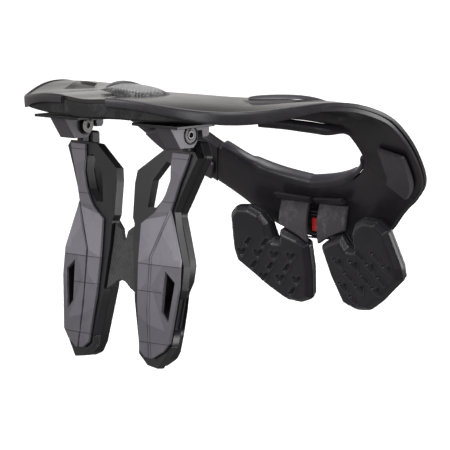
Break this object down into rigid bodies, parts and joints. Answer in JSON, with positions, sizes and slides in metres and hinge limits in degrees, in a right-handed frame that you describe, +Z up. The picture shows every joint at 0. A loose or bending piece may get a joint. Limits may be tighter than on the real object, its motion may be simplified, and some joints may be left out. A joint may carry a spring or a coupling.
{
  "type": "motocross neck brace",
  "caption": "Rigid open ring worn on the shoulders round the neck, with a faceted table behind, hinged back legs, a front bib and padded chest pads hung on straps.",
  "frame": {"origin": "middle of the neck opening at shoulder level, where the wearer's neck and shoulders hold the brace", "axes": "X toward the wearer's right, Y toward the wearer's front, Z up"},
  "size_m": [0.282, 0.2612, 0.1913],
  "materials": {
    "gloss_shell": "glossy",
    "edge_band": "satin",
    "foam": "fine closed-cell foam",
    "frame_plastic": "satin",
    "leg_cover_plastic": "satin",
    "liner": "smooth moulded foam",
    "strap_rubber": "matte",
    "steel": "brushed",
    "boot_plastic": "glossy",
    "web_rubber": "fine ribbed",
    "pad_textile": "woven",
    "lever_plastic": "satin"
  },
  "bodies": {
    "brace": {"table_top": "gloss_shell", "front_shell_right": "gloss_shell", "front_shell_left": "gloss_shell", "rim_band_right": "edge_band", "rim_band_left": "edge_band", "foam_core": "foam", "shoulder_frame_right": "frame_plastic", "shoulder_frame_left": "frame_plastic", "neck_roll_right": "frame_plastic", "neck_roll_left": "frame_plastic", "chest_frame_right": "frame_plastic", "chest_frame_left": "frame_plastic", "shoulder_liner_right": "liner", "shoulder_liner_left": "liner", "collar_foam_right": "foam", "collar_foam_left": "foam", "side_collar_right": "foam", "side_collar_left": "foam", "rear_pad": "pad_textile", "leg_bracket_right": "frame_plastic", "leg_bracket_left": "frame_plastic", "hinge_bolt_right": "steel", "hinge_bolt_left": "steel", "flange_plate_right": "frame_plastic", "flange_plate_left": "frame_plastic", "flange_screw_1_right": "steel", "flange_screw_1_left": "steel", "flange_screw_2_right": "steel", "flange_screw_2_left": "steel", "chest_pad_right": "foam", "chest_pad_left": "foam", "chest_plate_right": "frame_plastic", "chest_plate_left": "frame_plastic", "strap_bracket_right": "frame_plastic", "strap_bracket_left": "frame_plastic", "strap_right": "strap_rubber", "strap_left": "strap_rubber", "latch_housing": "frame_plastic"},
    "legs": {"leg_frame_right": "frame_plastic", "leg_frame_left": "frame_plastic", "leg_cover_right": "leg_cover_plastic", "leg_cover_left": "leg_cover_plastic", "leg_pad_right": "foam", "leg_pad_left": "foam", "leg_boot_right": "boot_plastic", "leg_boot_left": "boot_plastic", "leg_web": "web_rubber"},
    "lever": {"latch_lever": "lever_plastic"}
  },
  "joints": [
    {"name": "leg_swing", "type": "hinge", "parent": "brace", "child": "legs", "pos_m": [0, -0.107, -0.0012], "axis": [1, 0, 0], "range_deg": [-20, 4]},
    {"name": "latch_swing", "type": "hinge", "parent": "brace", "child": "lever", "pos_m": [0, 0.0826, -0.08], "axis": [1, 0, 0], "range_deg": [-40, 0]}
  ]
}
